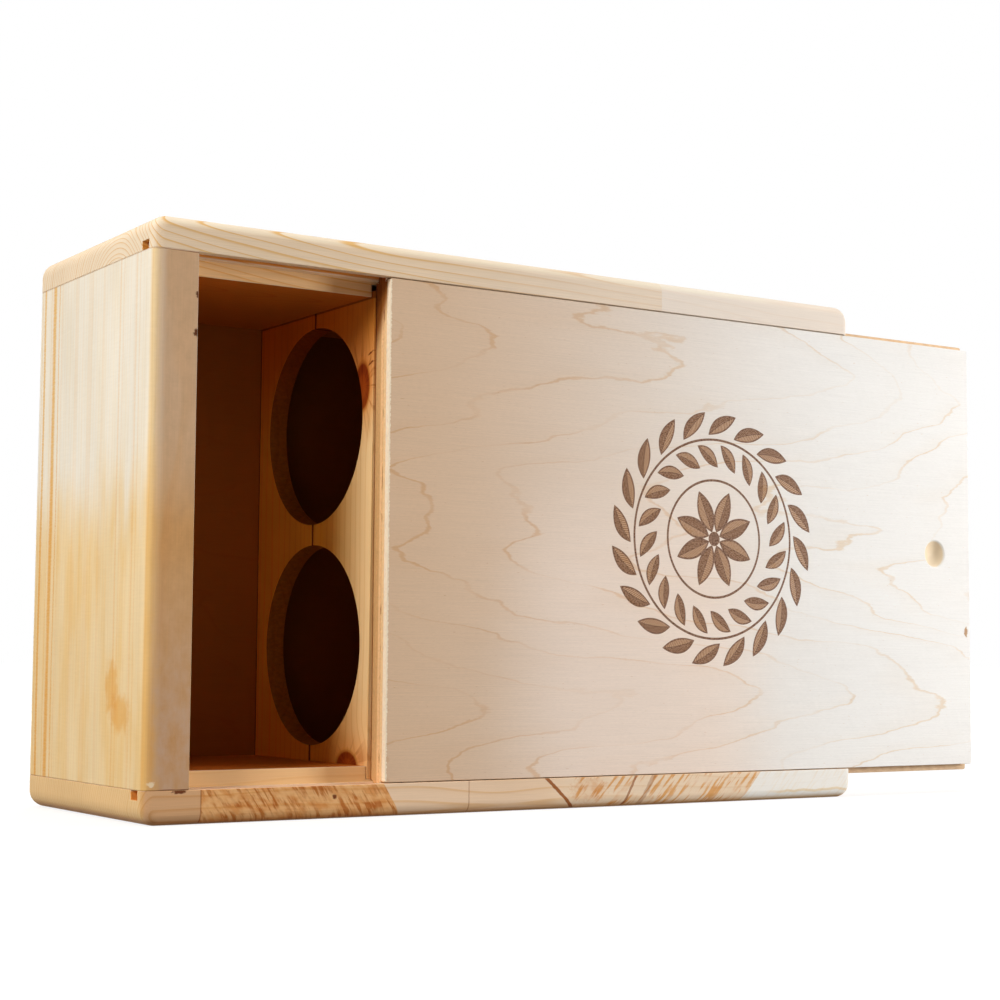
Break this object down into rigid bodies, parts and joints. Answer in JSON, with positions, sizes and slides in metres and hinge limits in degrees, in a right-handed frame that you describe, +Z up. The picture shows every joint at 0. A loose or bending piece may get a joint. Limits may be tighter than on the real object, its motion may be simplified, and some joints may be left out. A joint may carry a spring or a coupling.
{
  "type": "sliding-lid wine box",
  "caption": "Pine box for two wine bottles, with a plywood lid that slides in grooves and cradles with round holes that hold the bottles.",
  "frame": {"origin": "middle of the bottom board's outer face, on which the box stands", "axes": "+Z up, +X along the box in the direction in which the lid opens, -Y towards the lid's face"},
  "size_m": [0.4364, 0.123, 0.232],
  "materials": {
    "pine": "sanded, bare",
    "pine_end": "sanded, bare",
    "panel_ply": "sanded, bare",
    "lid_ply": "sanded plywood, bare, with a burnt-in ornament",
    "cradle_pine": "sanded, bare",
    "brad_steel": "plain"
  },
  "bodies": {
    "carcass": {"top_board": "pine", "bottom_board": "pine", "left_end_board": "pine_end", "right_end_board": "pine_end", "back_panel": "panel_ply", "body_cradle_rear": "cradle_pine", "body_cradle_front": "cradle_pine", "neck_cradle_rear": "cradle_pine", "neck_cradle_front": "cradle_pine", "corner_brads": "brad_steel", "panel_brads": "brad_steel"},
    "lid": {"lid": "lid_ply"}
  },
  "joints": [
    {"name": "lid_slide", "type": "slide", "parent": "carcass", "child": "lid", "axis": [1, 0, 0], "range_m": [-0.0851, 0.265]}
  ]
}
